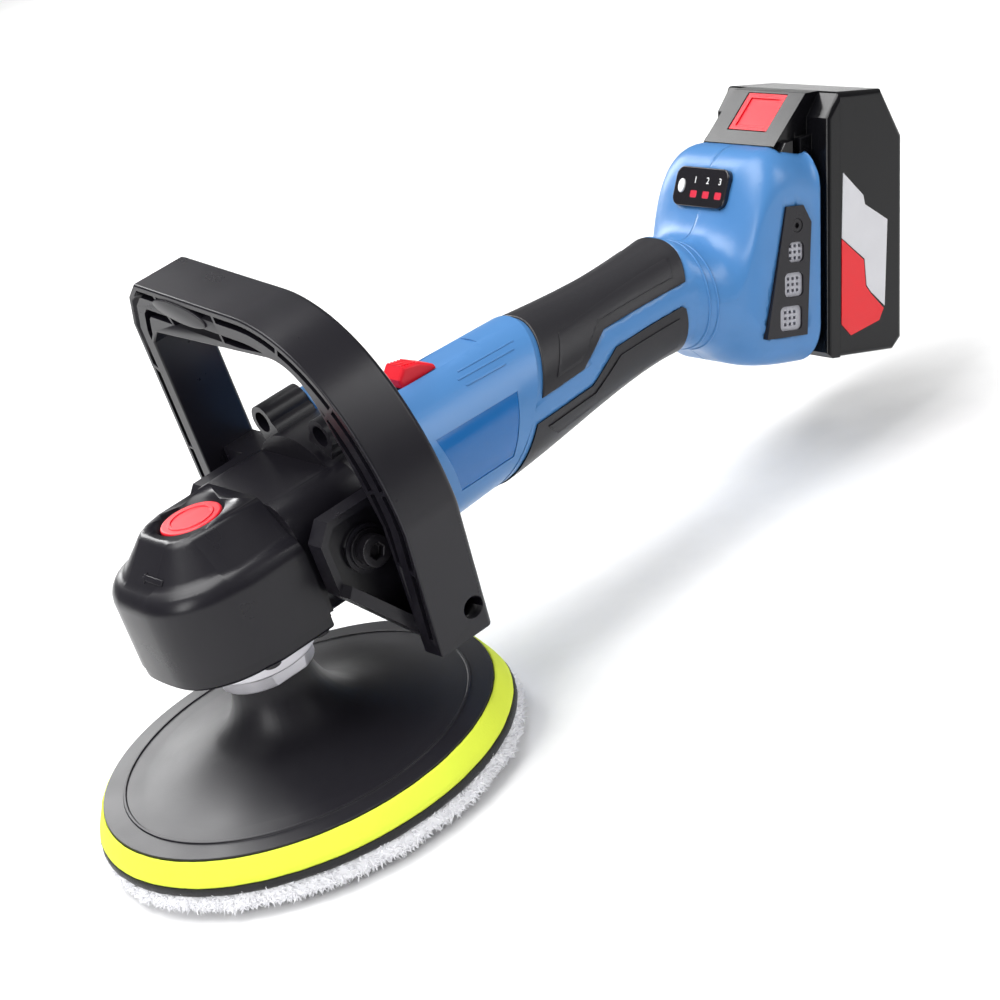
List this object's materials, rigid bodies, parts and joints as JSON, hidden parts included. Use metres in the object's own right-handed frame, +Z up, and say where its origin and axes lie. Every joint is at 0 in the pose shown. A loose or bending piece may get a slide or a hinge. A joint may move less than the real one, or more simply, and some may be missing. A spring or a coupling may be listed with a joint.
{
  "type": "cordless polisher",
  "caption": "Cordless polisher with a bevel gear head, D-handle, straight grip, slide-on battery and a flat polishing pad with a wool face.",
  "frame": {"origin": "middle of the polishing face, on the spindle axis", "axes": "+Z up the spindle into the gear head, +Y back along the motor and handle to the battery, +X to the operator's left"},
  "size_m": [0.1833, 0.4554, 0.2035],
  "materials": {
    "bonnet_wool": "soft white wool pile",
    "hook_fabric": "black hook and loop fabric",
    "foam": "open-cell yellow-green foam",
    "pad_rubber": "satin black rubber",
    "steel": "machined steel",
    "flange_metal": "satin cast light metal",
    "dark_steel": "black oxide",
    "case_metal": "black painted die casting",
    "black_plastic": "satin black moulded plastic",
    "blue_plastic": "satin blue moulded plastic",
    "grip_rubber": "fine textured soft grip",
    "red_plastic": "red moulded plastic",
    "white_plastic": "white button",
    "display_plastic": "dark lens",
    "lamp": "red indicator windows",
    "vent_mesh": "light grey mesh",
    "pack_plastic": "smooth black case",
    "label_grey": "light grey film",
    "label_red": "red film",
    "copper": "enamelled copper",
    "laminations": "stacked laminations",
    "magnet": "plated magnet",
    "board": "green board",
    "cell_wrap": "cell sleeve",
    "nickel": "nickel",
    "inner_plastic": "plain black plastic",
    "panel_blue": "deeper blue smooth panel"
  },
  "bodies": {
    "tool_body": {"bearing_retainer": "case_metal", "case_screws": "dark_steel", "controller_board": "board", "d_handle": "black_plastic", "display_panel": "display_plastic", "front_motor_bearing": "steel", "gear_case": "case_metal", "grip_pad_lower": "grip_rubber", "grip_pad_upper": "grip_rubber", "handle_bolts": "dark_steel", "handle_shell_left": "blue_plastic", "handle_shell_right": "blue_plastic", "handle_washers": "dark_steel", "head_cover": "black_plastic", "indicator_lamps": "lamp", "lock_spring": "steel", "lower_spindle_bearing": "steel", "motor_bracket": "inner_plastic", "motor_housing": "blue_plastic", "rear_motor_bearing": "steel", "retainer_screws": "dark_steel", "shell_screws": "dark_steel", "side_panels": "panel_blue", "stator_core": "laminations", "stator_windings": "copper", "switch_body": "inner_plastic", "terminal_block": "inner_plastic", "tool_blades": "nickel", "upper_spindle_bearing": "steel", "vent_meshes": "vent_mesh", "vent_panels": "black_plastic", "vent_screws": "dark_steel"},
    "spindle_body": {"wool_bonnet": "bonnet_wool", "hook_layer": "hook_fabric", "foam_layer": "foam", "backing_pad": "pad_rubber", "pad_insert": "steel", "spindle_flange": "flange_metal", "spindle": "steel", "ring_gear": "steel"},
    "rotor_body": {"rotor_shaft": "steel", "pinion": "steel", "rotor_core": "laminations", "rotor_magnets": "magnet", "cooling_fan": "inner_plastic"},
    "lock_body": {"lock_button": "red_plastic", "lock_pin": "steel"},
    "switch_body_moving": {"switch_knob": "red_plastic", "switch_link": "inner_plastic"},
    "speed_button_body": {"speed_button": "white_plastic"},
    "battery_body": {"pack_front_case": "pack_plastic", "pack_rear_case": "pack_plastic", "pack_cells": "cell_wrap", "nickel_strips": "nickel", "pack_board": "board", "pack_contacts": "nickel", "pack_label_grey": "label_grey", "pack_label_red": "label_red", "release_spring": "steel"},
    "release_body": {"release_button": "red_plastic"}
  },
  "joints": [
    {"name": "spindle_spin", "type": "hinge", "parent": "tool_body", "child": "spindle_body", "pos_m": [0, 0, 0.05], "axis": [0, 0, 1], "continuous": true},
    {"name": "rotor_spin", "type": "hinge", "parent": "tool_body", "child": "rotor_body", "pos_m": [0, 0.1, 0.102], "axis": [0, 1, 0], "continuous": true},
    {"name": "spindle_lock_press", "type": "slide", "parent": "tool_body", "child": "lock_body", "axis": [0, 0, -1], "range_m": [0, 0.004], "stiffness_N_per_m": 800, "springref_m": -0.002, "deforming": ["lock_spring"]},
    {"name": "power_switch_slide", "type": "slide", "parent": "tool_body", "child": "switch_body_moving", "axis": [0, -1, 0], "range_m": [0, 0.007]},
    {"name": "speed_button_press", "type": "slide", "parent": "tool_body", "child": "speed_button_body", "axis": [0, 0.788, -0.6157], "range_m": [0, 0.0006], "stiffness_N_per_m": 600, "springref_m": -0.001},
    {"name": "battery_slide", "type": "slide", "parent": "tool_body", "child": "battery_body", "axis": [0, 0.3746, 0.9272], "range_m": [0, 0.12]},
    {"name": "battery_release_press", "type": "slide", "parent": "battery_body", "child": "release_body", "axis": [0, 0.9272, -0.3746], "range_m": [0, 0.003], "stiffness_N_per_m": 700, "springref_m": -0.002, "deforming": ["release_spring"]}
  ],
  "couplings": [
    {"joint": "rotor_spin", "follows": "spindle_spin", "ratio": 4}
  ]
}
